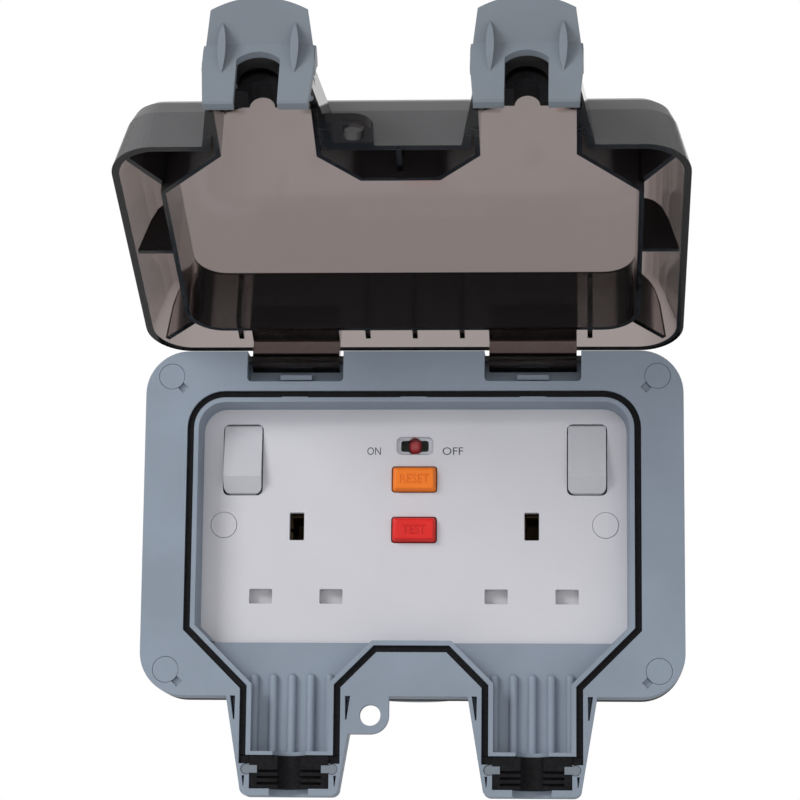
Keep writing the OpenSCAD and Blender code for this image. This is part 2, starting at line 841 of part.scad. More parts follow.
// Sprung brass clip that grips one flat pin of the given size
module pin_clip(w, h, depth) {
    t = 0.8;
    difference() {
        block(-w / 2 - t, 0, -h / 2 - t, w / 2 + t, depth, h / 2 + t);
        block(-w / 2, -eps, -h / 2, w / 2, depth - t, h / 2);
        block(-w, -eps, -0.5, -w / 2 + 0.6, depth - 2, 0.5);
        block(w / 2 - 0.6, -eps, -0.5, w, depth - 2, 0.5);
    }
}

// Both earth clips are joined by a strap across the back of the case
module earth_contacts() {
    color("#c9a24a") {
        for (i = SIDES)
            translate([i * socket_x, contact_y, plate_z + earth_z])
            pin_clip(4, 8, case_back_y - contact_y);
        block(-socket_x, case_back_y - strap_t, plate_z + earth_z - 2,
            socket_x, case_back_y, plate_z + earth_z + 2);
    }
}

module line_contacts(side) {
    color("#c9a24a")
    for (i = SIDES)
        translate([i * socket_x + side * pin_pitch / 2, contact_y, line_z])
        pin_clip(6.4, 4, case_back_y - contact_y);
}

module terminal_blocks() {
    color("#c7a050")
    for (k = [-1:1])
        difference() {
            block(k * 13 - 4, case_back_y - 9, terminal_z - 5, k * 13 + 4, case_back_y, terminal_z + 5);
            pin_y(k * 13, terminal_z, 1.6, case_back_y - 5, case_back_y + eps);
            translate([k * 13, case_back_y - 6.6, terminal_z - 6])
            cylinder(r = 1.5, h = 12);
        }
}

module terminal_screws() {
    color("#b5b8bc")
    for (k = [-1:1])
        difference() {
            pin_y(k * 13, terminal_z, 1.5, case_back_y - 4.4, case_back_y + 0.5);
            block(k * 13 - 2, case_back_y - 0.2, terminal_z - 0.25,
                k * 13 + 2, case_back_y + eps, terminal_z + 0.25);
        }
}

// The ends of a rocker lie on a circle about its pivot, so that their gap stays as it turns
function rocker_end(y) = sqrt(rocker_r * rocker_r - y * y);
function rocker_arc(side, y0, y1, n = 6) =
    [for (k = [0:n]) let (y = y0 + (y1 - y0) * k / n) [y, side * rocker_end(y)]];

// Outline of a rocker as (y, z) about its pivot, before it is tilted
module rocker_outline() {
    h = rocker_h / 2;
    f = rocker_rise;
    polygon(concat([[-f - 2.2, -h + 4.6]], rocker_arc(-1, -f + 0.7, -f + 2), [[1, 0]],
        rocker_arc(1, -f + 2, -f - 0.8), [[-f - 1.3, h - 0.8]]));
}

// Rocker with its pivot stubs and the foot that works the blade
module rocker(side) {
    h = rocker_h / 2;
    color("#dededf")
    translate([side * rocker_x, rocker_y + rocker_pivot, plate_z + rocker_z])
    rotate([-rocker_tilt, 0, 0])
    difference() {
        union() {
            intersection() {
                bar_x(0, rocker_w)
                rocker_outline();
                slab(-rocker_rise - 4, 4)
                rounded(rocker_w, rocker_h + 1.2, 2.4);
            }
            pin_x(0, 0, 0, 1.2, rocker_w + 3);
            bar_x(0, 3)
            polygon([[0, -3], [rocker_foot, -1], [rocker_foot, 1], [0, 3]]);
        }
        bar_x(0, rocker_w - 6.4)
        polygon([[0.4 - rocker_pivot, -h + 1.2], [2, -h + 1.2], [2, -3.2], [0.4 - rocker_pivot, -3.2]]);
    }
}

// Plain wound spring on the Y axis, its turns joined by a thin wire
module spring(r, wire, y0, y1, turns) {
    pitch = (y1 - y0 - wire) / turns;
    for (k = [0:turns])
        translate([0, y0 + wire / 2 + k * pitch, 0])
        rotate([90, 0, 0])
        rotate_extrude()
        translate([r, 0])
        circle(wire / 2, $fn = 16);
    block(-wire / 2, y0 + wire / 4, r - wire / 4, wire / 2, y1 - wire / 4, r + wire / 4);
}

module rocker_springs() {
    y0 = rocker_y + rocker_pivot + rocker_foot + running;
    color("#9ea2a6")
    for (i = SIDES)
        translate([i * rocker_x, 0, plate_z + rocker_z])
        spring(2, 0.6, y0, blade_y, 5);
}

module switch_blades() {
    color("#c8a450")
    for (i = SIDES) {
        z = plate_z + rocker_z;
        block(i * rocker_x - 2.5, blade_y, z - 9, i * rocker_x + 2.5, blade_y + 1, z + 9);
        for (j = SIDES)
            block(i * rocker_x - 2.5, blade_y, z + j * 8 - 1, i * rocker_x + 2.5, case_back_y, z + j * 8 + 1);
    }
}

module push_button(z, tint) {
    top_y = plate_y - button_proud;
    color(tint)
    difference() {
        union() {
            hull()
            for (k = [[0, 1.2], [0.15, 0.8], [0.5, 0.5], [button_proud, 0]])
                slab(top_y + k[0], top_y + k[0] + sheet)
                rounded(button_w - 2 * k[1], button_h - 2 * k[1], 0.8, 0, plate_z + z);
            slab(plate_y, plate_back_y + 3)
            rounded(button_w, button_h, 0.8, 0, plate_z + z);
            slab(plate_back_y + fit, plate_back_y + 3)
            rounded(button_w + 3, button_h + 2, 1, 0, plate_z + z);
        }
        slab(plate_y + 1, plate_back_y + 3 + eps)
        rounded(button_w - 3, button_h - 3, 0.6, 0, plate_z + z);
    }
}

// Spring from inside a button back to the circuit board
module button_spring(z) {
    color("#9ea2a6")
    translate([0, 0, plate_z + z])
    spring(1.7, 0.5, plate_y + 1, board_y, 8);
}

module window_lens() {
    color([0.9, 0.9, 0.95, 0.4]) {
        slab(plate_y - 0.4, plate_y + window_ledge - fit)
        rounded(window_w - 2 * fit, window_h - 2 * fit, 1.5, 0, plate_z + window_z);
        slab(plate_y, plate_back_y)
        window_hole(fit);
    }
}

// Red flag behind the window, carried by the arm of the contact carriage
module indicator_flag() {
    z = plate_z + window_z;
    color("#c8202a") {
        translate([0, flag_y, z])
        cylinder(r = flag_r, h = 1);
        for (k = [0, 1])
            translate([0, flag_y, z + k])
            sphere(flag_r);
        pin_y(0, z, 0.9, flag_y, carriage_y + 1);
    }
}

module contact_carriage() {
    z = plate_z + window_z;
    color("#2f3033")
    difference() {
        union() {
            block(-1.6, carriage_y, z - 3.6, 1.6, carriage_y + 3, z + 1.6);
            block(-17, carriage_y + 2.4, z - 4.6, 17, carriage_y + 7, z - 0.6);
        }
        pin_y(0, z, 0.9 + fit / 2, carriage_y - eps, carriage_y + 1);
    }
}

// Bridge strips on the carriage
module moving_contacts() {
    z = plate_z + window_z - 0.6;
    color("#c8a450")
    for (i = SIDES)
        block(i * 11 - 4, carriage_y + 3.4, z, i * 11 + 4, carriage_y + 6.4, z + 0.8);
}

module fixed_contacts() {
    z = plate_z + window_z + 0.2 + fit;
    color("#c8a450")
    for (i = SIDES, j = SIDES)
        block(i * 11 + j * 3 - 1, carriage_y + 3.4, z, i * 11 + j * 3 + 1, board_y, z + 1.2);
}

module trip_coil() {
    color("#a8672f")
    difference() {
        pin_x(-11.5, board_y - 5.2, trip_z, 5, 13);
        pin_x(-11.5, board_y - 5.2, trip_z, 1.7, 15);
    }
}

module trip_plunger() {
    color("#a5a9ad")
    pin_x(-11.5, board_y - 5.2, trip_z, 1.5, 15);
}

module sensing_coil() {
    color("#b4733a")
    translate([0, board_y, sensing_z])
    rotate([90, 0, 0])
    difference() {
        cylinder(r = 7, h = 8);
        translate([0, 0, -eps])
        cylinder(r = 3.4, h = 8 + 2 * eps);
    }
}

// Board that fills the middle bay and ends above the terminals
module circuit_board() {
    color("#2d6b3f")
    difference() {
        block(-bay_half, board_y, terminal_z + 5.4, bay_half, board_y + 1.6, plate_z + case_h / 2 - case_wall);
        pin_y(0, sensing_z, 3.4, board_y - eps, board_y + 3);
    }
}

module board_parts() {
    z = sensing_z;
    color("#34363a") {
        block(10, board_y - 6, z - 2.5, 17, board_y, z + 5.5);
        block(10, board_y - 3, z + 7.5, 17, board_y, z + 14.5);
        pin_y(-13, z - 0.5, 3.4, board_y - 9, board_y);
        block(7, board_y - 5, z + 16.5, 18, board_y, z + 24.5);
        for (k = [0:3])
            block(-19, board_y - 1.2, z + 5.5 + k * 2, -15, board_y, z + 6.5 + k * 2);
        // Pillars that hold the board off the back of the case
        for (i = SIDES, pillar_z = [z + 2.5, plate_z + case_h / 2 - 8])
            pin_y(i * 16, pillar_z, 1.6, board_y + 1.6, case_back_y);
    }
}

// Sliding shutter behind the live and neutral apertures, with a slot for the earth pin's ramp
module shutter(side) {
    y0 = plate_back_y + fit;
    color("#a9abae")
    difference() {
        block(side * socket_x - shutter_half, y0, line_z - 4,
            side * socket_x + shutter_half, y0 + shutter_t, line_z + shutter_up);
        block(side * socket_x - 2.6, y0 - eps, line_z - 6, side * socket_x + 2.6, y0 + 3, line_z + 1);
        block(side * socket_x - 1.7, y0 - eps, line_z + shutter_up - 2,
            side * socket_x + 1.7, y0 + 3, line_z + 15);
    }
}

module shutter_spring(side) {
    z0 = line_z + shutter_up - 2;
    color("#9ea2a6")
    translate([side * socket_x, plate_back_y + fit + shutter_t / 2, z0])
    rotate([90, 0, 0])
    spring(1, 0.4, 0, shutter_stop_z - z0, 7);
}

// Turns the closed cover and what it carries to its open rest
module opened() {
    translate([0, hinge_y, hinge_z])
    rotate([-lid_open, 0, 0])
    translate([0, -hinge_y, -hinge_z])
    children();
}

// Cover, drawn closed: depth d runs from its rim towards the viewer
// Share of the depth at each level, and how far the top and foot, the two sides
// and the end of a leg have drawn in there
LID_LEVELS = [[0, 0, 0, 0], [0.62, 0, 2, 0], [0.84, 1.4, 3.4, 3.3], [0.95, 3.6, 5.4, 7.1],
    [1, 6.4, 7.6, 9]];

function lid_level_depth(k, top_d) = sheet + LID_LEVELS[k][0] * (top_d - sheet);
function lid_level_inset(k, shrink, d, way) = shrink + lid_draft * d + LID_LEVELS[k][way];

module lid_level(k, shrink, top_d) {
    d = lid_level_depth(k, top_d);
    end_inset = lid_level_inset(k, shrink, d, 1);
    side_inset = lid_level_inset(k, shrink, d, 2);
    h = half_h + lid_top;
    r = max(frame_corner_r - side_inset * 0.8, 5);
    slab(lid_rim_y - d, lid_rim_y - d + sheet)
    rounded(frame_w - 2 * side_inset, h - 2 * end_inset, r, 0, (lid_top - half_h) / 2);
}

module lid_body(shrink, top_d) {
    hull()
    for (k = [0:len(LID_LEVELS) - 1])
        lid_level(k, shrink, top_d);
}

module lid_leg(shrink, top_d) {
    hull()
    for (k = [0:len(LID_LEVELS) - 1]) {
        d = lid_level_depth(k, top_d);
        slab(lid_rim_y - d, lid_rim_y - d + sheet)
        leg_outline(lid_leg_bottom + lid_level_inset(k, shrink, d, 3), lid_leg_root_z,
            lid_leg_margin + lid_level_inset(k, shrink, d, 1));
    }
}

module lid_shape(shrink, top_d) {
    lid_body(shrink, top_d);
    at_legs()
    lid_leg(shrink, top_d);
}

module lid_rib(x0, z0, x1, z1, d0) {
    t = 1.6;
    run = norm([x1 - x0, z1 - z0]);
    translate([x0, 0, z0])
    rotate([0, -atan2(z1 - z0, x1 - x0), 0])
    block(0, lid_rim_y - lid_depth, -t / 2, run, lid_rim_y - d0, t / 2);
}

module lid_ribs() {
    for (i = SIDES) {
        lid_rib(i * half_w, 0.6, i * seal_half_w, 0.6, 1);
        lid_rib(i * half_w, -half_h, i * (seal_half_w - 0.6), seal_corner_z - 0.6, 1);
        lid_rib(i * half_w, lid_top, i * (seal_half_w - 3.2), seal_top - 3.2, 1);
    }
    for (x = [-leg_x - 18, -15, 0, 15, leg_x + 18])
        lid_rib(x, seal_top, x, lid_top, 3);
    lid_rib(0, seal_mid_z, 0, -half_h, 1);
}

// Hinge block, arm, barrel and tail of one side, about the middle of the leg
module lid_knuckle() {
    y1 = hinge_y + knuckle_tail;
    block(-knuckle_w / 2, lid_rim_y - 8, seal_top + 0.6, knuckle_w / 2, lid_rim_y, lid_top - 0.3);
    bar_x(0, knuckle_w)
    polygon([[lid_rim_y - fit, hinge_z - barrel_r], [y1, hinge_z - barrel_r],
        [y1, hinge_z + 1.2], [hinge_y, hinge_z + barrel_r], [lid_rim_y - fit, hinge_z + barrel_r]]);
}

// Shelf and cross wall that seat the cable seal of a leg
module lid_shelf() {
    block(-leg_end_half, lid_rim_y - shelf_depth - shelf_t, lid_leg_bottom,
        leg_end_half, lid_rim_y - shelf_depth, leg_top_z);
    block(-leg_seal_half, lid_rim_y - lid_depth, leg_top_z,
        leg_seal_half, lid_rim_y - shelf_depth, leg_top_z + shelf_t);
}

module lid_seal_wall() {
    slab(lid_rim_y - lid_depth, lid_rim_y + eps)
    seal_strip(seal_wall, leg_top_z);
}

module lid() {
    color([0.17, 0.16, 0.16, 0.75])
    opened()
    difference() {
        union() {
            difference() {
                lid_shape(0, lid_depth);
                difference() {
                    lid_shape(lid_wall, lid_inner);
                    lid_seal_wall();
                    lid_ribs();
                    at_legs()
                    lid_shelf();
                }
            }
            slab(lid_rim_y - eps, lid_rim_y + tongue)
            seal_strip(seal_wall, leg_top_z);
            for (i = SIDES)
                translate([i * leg_x, 0, 0])
                lid_knuckle();
            slab(lid_rim_y - padlock_t, lid_rim_y)
            padlock_outline(-leg_x + leg_end_half);
        }
        pin_y(-padlock_x, -padlock_z, padlock_d / 2, lid_rim_y - 6, lid_rim_y + eps);
        for (i = SIDES) {
            pin_x(i * leg_x, hinge_y, hinge_z, hinge_pin_d / 2 + fit / 2, knuckle_w + 2);
            pin_x(i * leg_x, latch_pin_y, latch_pin_z, latch_pin_d / 2 + fit / 2, 2 * latch_half);
        }
        at_legs() {
            block(-cable_seal_half, lid_rim_y - shelf_depth, lid_seal_bottom - fit,
                cable_seal_half, lid_rim_y + eps, cable_seal_top);
            translate([0, lid_rim_y, lid_leg_bottom - eps])
            cylinder(r = cable_r, h = 4);
            holder_shape(lid_rim_y - holder_depth, lid_rim_y + eps, fit);
        }
    }
}

// Rubber block in the end of each leg of the cover
module lid_seal(side) {
    color("#1d1d1f")
    opened()
    leg_side(side)
    difference() {
        block(-cable_seal_half + fit, lid_rim_y - shelf_depth + fit, lid_seal_bottom,
            cable_seal_half - fit, lid_rim_y - 0.1, cable_seal_top - fit);
        translate([0, lid_rim_y, cable_seal_bottom - eps])
        cylinder(r = 3.6, h = cable_seal_len + 2 * eps);
        difference() {
            holder_shape(lid_rim_y - holder_depth, lid_rim_y + eps, fit);
            holder_gap(lid_rim_y - holder_bar + fit, lid_rim_y - 0.1, fit);
        }
    }
}

module lid_seal_holder(side) {
    color("#8b96a4")
    opened()
    leg_side(side)
    difference() {
        holder_shape(lid_rim_y - holder_depth + fit, lid_rim_y - 0.2);
        holder_gap(lid_rim_y - holder_bar, lid_rim_y + eps);
    }
}

module latch_pin(side) {
    color("#55585c")
    opened()
    pin_x(side * leg_x, latch_pin_y, latch_pin_z, latch_pin_d / 2, 2 * latch_half - 0.8);
}

// Depths along a latch, measured from the rim plane of the cover
latch_bend_d = 11;
latch_hook_y = frame_rear_y + 0.2;
latch_hook_t = 1.1;
latch_slot_d = 7.3;
latch_tab_half = 13.8;
latch_arch = 2.7;
latch_fin_x = 10.2;
latch_fin_len = 15.6;
latch_fin_half = 1.15;

// Side view of a latch as (y, z), in its hooked place
module latch_profile() {
    t = latch_t;
    z = latch_inner_z;
    yb = lid_rim_y - latch_bend_d;
    ye = yb - latch_tab * cos(latch_bend);
    ze = z - latch_tab * sin(latch_bend);
    sx = t * sin(latch_bend);
    cx = t * cos(latch_bend);
    tip = latch_hook_y + latch_hook_t;
    polygon([[tip, z], [tip, z - t + 0.6], [tip - 0.6, z - t],
        [yb + t * tan(latch_bend / 2), z - t], [ye + sx, ze - cx], [ye, ze], [yb, z]]);
    polygon([[latch_hook_y, z - fit], [latch_hook_y, z + running + 0.9], [tip - 0.5, z + running + 0.9],
        [tip, z - 0.2], [tip, z - fit - 0.2]]);
}

// Front view of a latch, as wide as it is at each depth: drawn as (x, -y)
module latch_plan() {
    y_tip = -latch_hook_y - latch_hook_t - eps;
    y_rim = -lid_rim_y;
    y_top = -(lid_rim_y - latch_bend_d - latch_tab * cos(latch_bend)) - latch_t * sin(latch_bend);
    w = latch_tab_half;
    r = (w * w + latch_arch * latch_arch) / (2 * latch_arch);
    side = [[14.6, y_tip], [latch_half - 0.2, y_rim], [latch_half, y_rim + 3],
        [latch_half - 0.3, y_rim + latch_bend_d - 3.4], [latch_half - 0.9, y_rim + latch_bend_d],
        [w, y_top - latch_arch - 0.4], [w - 0.6, y_top + eps]];
    intersection() {
        polygon(concat(side, [for (k = [len(side) - 1:-1:0]) [-side[k][0], side[k][1]]]));
        translate([0, y_top - r])
        circle(r, $fn = 160);
    }
}

// Outline of both ears together: drawn as (x, -y)
module latch_ear_plan() {
    w = latch_half;
    y = -lid_rim_y;
    polygon([[-w, y - 5], [w, y - 5], [w, y + 8], [w - 0.6, y + 17], [-w + 0.6, y + 17], [-w, y + 8]]);
}

// Opening for the flex between the prongs: drawn as (x, -y)
module latch_slot() {
    y_rim = -lid_rim_y;
    rect(-cable_r, y_rim - 20, cable_r, y_rim + latch_slot_d - 3);
    intersection() {
        rect(-cable_r, y_rim, cable_r, y_rim + latch_slot_d + 2);
        translate([0, y_rim + latch_slot_d - 8])
        circle(8);
    }
}

// Spindle outline of a fin, centred on y: drawn as (x, -y)
module latch_fin_lens(y) {
    h = latch_fin_len / 2;
    r = (h * h + latch_fin_half * latch_fin_half) / (2 * latch_fin_half);
    intersection() {
        translate([r - latch_fin_half, y])
        circle(r, $fn = 200);
        translate([latch_fin_half - r, y])
        circle(r, $fn = 200);
    }
}

module latch(side) {
    z = latch_inner_z;
    yb = lid_rim_y - latch_bend_d;
    color("#8c96a3")
    opened()
    leg_side(side)
    translate([0, latch_pin_y, latch_pin_z])
    rotate([-latch_slack, 0, 0])
    translate([0, -latch_pin_y, -latch_pin_z]) {
        difference() {
            union() {
                intersection() {
                    bar_x(0, 2 * latch_half)
                    latch_profile();
                    translate([0, 0, z - 30])
                    linear_extrude(60)
                    mirror([0, 1])
                    difference() {
                        latch_plan();
                        latch_slot();
                    }
                }
                // Side ears that carry the pin, drawn in a little towards the bend
                intersection() {
                    for (i = SIDES)
                        bar_x(i * (latch_half - latch_ear_t / 2), latch_ear_t) {
                            translate([latch_pin_y, latch_pin_z])
                            circle(3);
                            polygon([[latch_pin_y - 3, latch_pin_z], [latch_pin_y + 3, latch_pin_z],
                                [lid_rim_y - 1.4, z + 1.2], [lid_rim_y - 1, z - latch_t + 0.4],
                                [yb + 1, z - latch_t + 0.4], [yb + 0.6, z]]);
                        }
                    translate([0, 0, z - 30])
                    linear_extrude(60)
                    mirror([0, 1])
                    latch_ear_plan();
                }
            }
            for (i = SIDES)
                pin_x(i * (latch_half - latch_ear_t / 2), latch_pin_y, latch_pin_z,
                    latch_pin_d / 2 + fit / 2, latch_ear_t + 2);
        }
        // Fins across the bend, each a spindle seen from the front
        for (i = SIDES)
            intersection() {
                bar_x(i * latch_fin_x, 2 * latch_fin_half)
                polygon([[yb + 12, z - latch_t + 0.2], [yb + 1.4, z - latch_t + 0.2],
                    [yb - 5 * cos(latch_bend) + 0.6, z - latch_t - 5 * sin(latch_bend) + 1.4],
                    [yb - 6.2 * cos(latch_bend) + 1.2, z - latch_t - 6.2 * sin(latch_bend) - 0.2],
                    [yb - 1.2, z - latch_t - 4.4], [yb + 2.6, z - latch_t - 3.7],
                    [yb + 7, z - latch_t - 2]]);
                translate([i * latch_fin_x, 0, z - 30])
                linear_extrude(60)
                mirror([0, 1])
                latch_fin_lens(-yb - 12 + latch_fin_len / 2);
            }
    }
}

back_box();
entry_plugs();
box_gasket();
front_frame();
frame_gasket();
frame_screws();
corner_caps();
cable_seal(-1);  // cable_seal_left
cable_seal(1);  // cable_seal_right
seal_holder(-1);  // seal_holder_left
seal_holder(1);  // seal_holder_right
hinge_pins();
socket_plate();
plate_screws();
plate_screw_caps();
mechanism_case();
earth_contacts();
line_contacts(1);  // live_contacts
line_contacts(-1);  // neutral_contacts
terminal_blocks();
terminal_screws();
rocker(-1);  // rocker_left
rocker(1);  // rocker_right
rocker_springs();
switch_blades();
push_button(reset_z, "#f0862c");  // reset_button
push_button(test_z, "#d8322b");  // test_button
button_spring(reset_z);  // reset_spring
button_spring(test_z);  // test_spring
window_lens();
indicator_flag();
contact_carriage();
moving_contacts();
fixed_contacts();
trip_coil();
trip_plunger();
sensing_coil();
circuit_board();
board_parts();
shutter(-1);  // shutter_left
shutter(1);  // shutter_right
shutter_spring(-1);  // shutter_spring_left
shutter_spring(1);  // shutter_spring_right
lid();
lid_seal(-1);  // lid_seal_left
lid_seal(1);  // lid_seal_right
lid_seal_holder(-1);  // lid_seal_holder_left
lid_seal_holder(1);  // lid_seal_holder_right
latch_pin(-1);  // latch_pin_left
latch_pin(1);  // latch_pin_right
latch(-1);  // latch_left
latch(1);  // latch_right
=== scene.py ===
"""Looks for a twin weatherproof wall socket with a residual current switch and an open smoked cover."""
import json
import math

import bpy
from mathutils import Matrix, Vector


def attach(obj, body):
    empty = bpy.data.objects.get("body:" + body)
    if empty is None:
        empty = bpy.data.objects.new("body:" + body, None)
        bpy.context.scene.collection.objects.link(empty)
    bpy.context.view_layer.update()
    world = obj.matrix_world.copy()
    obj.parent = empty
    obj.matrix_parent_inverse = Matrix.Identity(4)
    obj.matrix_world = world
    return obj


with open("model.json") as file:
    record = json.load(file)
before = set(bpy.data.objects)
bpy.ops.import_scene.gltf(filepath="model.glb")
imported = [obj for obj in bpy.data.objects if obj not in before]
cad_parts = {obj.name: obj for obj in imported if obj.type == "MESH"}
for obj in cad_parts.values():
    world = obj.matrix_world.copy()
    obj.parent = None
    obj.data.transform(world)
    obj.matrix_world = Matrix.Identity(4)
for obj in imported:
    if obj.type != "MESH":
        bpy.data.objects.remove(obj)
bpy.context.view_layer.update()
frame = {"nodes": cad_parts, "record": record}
NODES = frame["nodes"]

MM = 0.001


def linear(r, g, b):
    """Linear colour of an sRGB one given in the 0 to 255 scale."""
    def one(v):
        v /= 255
        return v / 12.92 if v <= 0.04045 else ((v + 0.055) / 1.055) ** 2.4
    return (one(r), one(g), one(b), 1)


# Camera and stage

CAM_PLACE = Vector((51.27, -977.17, -134.18)) * MM
CAM_YAW, CAM_PITCH, CAM_ROLL = (math.radians(a) for a in (3.428, 10.546, 0.566))
SENSOR = 36
FOCAL_PX, IMAGE_PX = 3000.93, 800
FLOOR_Z = -0.155
FLOOR_SIZE = 6
AMBIENT = 0.42
# Name, place, size and power of each lamp. All face the origin.
LAMPS = (
    ("key", (-1.0, -1.0, 0.75), (0.6, 0.5), 14),
    ("fill", (0.7, -1.4, 0.35), (1.2, 1.0), 2.2),
    ("bounce", (0, -1.2, -0.13), (1.6, 0.05), 1.5),
)


def add_camera():
    """Camera at the photograph's place, from its yaw, pitch and roll."""
    forward = Vector((-math.sin(CAM_YAW) * math.cos(CAM_PITCH),
                      math.cos(CAM_YAW) * math.cos(CAM_PITCH), math.sin(CAM_PITCH)))
    right = Vector((math.cos(CAM_YAW), math.sin(CAM_YAW), 0))
    up = right.cross(forward)
    turn = Matrix((right, up, -forward)).transposed()
    roll = Matrix.Rotation(CAM_ROLL, 3, "Z")
    data = bpy.data.cameras.new("camera")
    data.sensor_width = SENSOR
    data.lens = FOCAL_PX * SENSOR / IMAGE_PX
    data.clip_start, data.clip_end = 0.05, 20
    cam = bpy.data.objects.new("camera", data)
    cam.matrix_world = Matrix.Translation(CAM_PLACE) @ (turn @ roll).to_4x4()
    bpy.context.collection.objects.link(cam)
    bpy.context.scene.camera = cam


def add_lamp(name, place, size, power):
    data = bpy.data.lights.new(name, "AREA")
    data.shape = "RECTANGLE"
    data.size, data.size_y = size
    data.energy = power
    lamp = bpy.data.objects.new(name, data)
    lamp.location = place
    lamp.rotation_mode = "QUATERNION"
    lamp.rotation_quaternion = (-Vector(place)).to_track_quat("-Z", "Y")
    bpy.context.collection.objects.link(lamp)


def seen_directly(nodes, links):
    """Socket that is 1 for camera, glossy and transmission rays and 0 for the rest."""
    path = nodes.new("ShaderNodeLightPath")
    total = path.outputs["Is Camera Ray"]
    for ray in ("Is Glossy Ray", "Is Transmission Ray"):
        add = nodes.new("ShaderNodeMath")
        add.operation = "MAXIMUM"
        links.new(total, add.inputs[0])
        links.new(path.outputs[ray], add.inputs[1])
        total = add.outputs[0]
    return total


def light_world(ambient):
    """White where it is seen, and a plain soft ambient light elsewhere."""
    world = bpy.data.worlds.new("studio")
    bpy.context.scene.world = world
    world.use_nodes = True
    nodes, links = world.node_tree.nodes, world.node_tree.links
    nodes.clear()
    out = nodes.new("ShaderNodeOutputWorld")
    mix = nodes.new("ShaderNodeMixShader")
    soft = nodes.new("ShaderNodeBackground")
    soft.inputs["Color"].default_value = (1, 1, 1, 1)
    soft.inputs["Strength"].default_value = ambient
    white = nodes.new("ShaderNodeBackground")
    white.inputs["Color"].default_value = (1, 1, 1, 1)
    white.inputs["Strength"].default_value = 1
    links.new(seen_directly(nodes, links), mix.inputs[0])
    links.new(soft.outputs[0], mix.inputs[1])
    links.new(white.outputs[0], mix.inputs[2])
    links.new(mix.outputs[0], out.inputs["Surface"])


def add_floor():
    mesh = bpy.data.meshes.new("floor")
    h = FLOOR_SIZE / 2
    mesh.from_pydata([(-h, -h, FLOOR_Z), (h, -h, FLOOR_Z), (h, h, FLOOR_Z), (-h, h, FLOOR_Z)],
                     [], [(0, 1, 2, 3)])
    floor = bpy.data.objects.new("floor", mesh)
    bpy.context.collection.objects.link(floor)
    mat = bpy.data.materials.new("floor")
    mat.use_nodes = True
    bsdf = mat.node_tree.nodes["Principled BSDF"]
    bsdf.inputs["Base Color"].default_value = (0.86, 0.86, 0.86, 1)
    bsdf.inputs["Roughness"].default_value = 0.8
    mesh.materials.append(mat)


# Materials

def new_material(name):
    mat = bpy.data.materials.new(name)
    mat.use_nodes = True
    nodes, links = mat.node_tree.nodes, mat.node_tree.links
    return mat, nodes, links, nodes["Principled BSDF"]


def object_noise(nodes, links, scale, detail=4, roughness=0.5):
    coords = nodes.new("ShaderNodeTexCoord")
    noise = nodes.new("ShaderNodeTexNoise")
    noise.inputs["Scale"].default_value = scale
    noise.inputs["Detail"].default_value = detail
    noise.inputs["Roughness"].default_value = roughness
    links.new(coords.outputs["Object"], noise.inputs["Vector"])
    return noise.outputs["Fac"]


def ramp(nodes, links, value, stops):
    """Colour ramp through (position, colour) stops."""
    node = nodes.new("ShaderNodeValToRGB")
    band = node.color_ramp
    while len(band.elements) < len(stops):
        band.elements.new(0.5)
    for element, (place, colour) in zip(band.elements, stops):
        element.position, element.color = place, colour
    links.new(value, node.inputs["Fac"])
    return node.outputs["Color"]


def scaled(colour, k):
    return (colour[0] * k, colour[1] * k, colour[2] * k, 1)


def round_edges(nodes, links, radius):
    bevel = nodes.new("ShaderNodeBevel")
    bevel.samples = 4
    bevel.inputs["Radius"].default_value = radius
    return bevel.outputs["Normal"]


def add_bump(nodes, links, height, strength, distance, normal=None):
    bump = nodes.new("ShaderNodeBump")
    bump.inputs["Strength"].default_value = strength
    bump.inputs["Distance"].default_value = distance
    links.new(height, bump.inputs["Height"])
    if normal:
        links.new(normal, bump.inputs["Normal"])
    return bump.outputs["Normal"]


def plastic(name, colour, rough, grain, grain_scale, edge=0.25 * MM, vary=0.06, shine=0.5):
    """Moulded plastic: cloudy colour, fine grain and rounded edges."""
    mat, nodes, links, bsdf = new_material(name)
    bsdf.inputs["Specular IOR Level"].default_value = shine
    cloud = object_noise(nodes, links, 45, 3)
    tint = ramp(nodes, links, cloud, [(0.3, scaled(colour, 1 - vary)), (0.7, scaled(colour, 1 + vary))])
    links.new(tint, bsdf.inputs["Base Color"])
    patch = object_noise(nodes, links, 120, 5)
    gloss = nodes.new("ShaderNodeMapRange")
    gloss.inputs["To Min"].default_value = rough - 0.06
    gloss.inputs["To Max"].default_value = rough + 0.08
    links.new(patch, gloss.inputs["Value"])
    links.new(gloss.outputs["Result"], bsdf.inputs["Roughness"])
    speckle = object_noise(nodes, links, grain_scale, 2)
    normal = add_bump(nodes, links, speckle, grain, 0.1 * MM, round_edges(nodes, links, edge))
    links.new(normal, bsdf.inputs["Normal"])
    return mat


def math_node(nodes, links, operation, first, second=None):
    node = nodes.new("ShaderNodeMath")
    node.operation = operation
    for spot, value in zip(node.inputs, (first, second)):
        if isinstance(value, (int, float)):
            spot.default_value = value
        elif value is not None:
            links.new(value, spot)
    return node.outputs[0]


def dot_with(nodes, links, vector, direction):
    node = nodes.new("ShaderNodeVectorMath")
    node.operation = "DOT_PRODUCT"
    links.new(vector, node.inputs[0])
    node.inputs[1].default_value = direction
    return node.outputs["Value"]


def step(nodes, links, value, low, high):
    """0 below low, 1 above high and smooth between them."""
    node = nodes.new("ShaderNodeMapRange")
    node.interpolation_type = "SMOOTHSTEP"
    node.inputs["From Min"].default_value = low
    node.inputs["From Max"].default_value = high
    links.new(value, node.inputs["Value"])
    return node.outputs["Result"]


# Direction from the open cover's latches to its hinge, and the hinge's place along it
LID_UP = (0, 0.9336, -0.3584)
HINGE_UP = -61.24 * MM
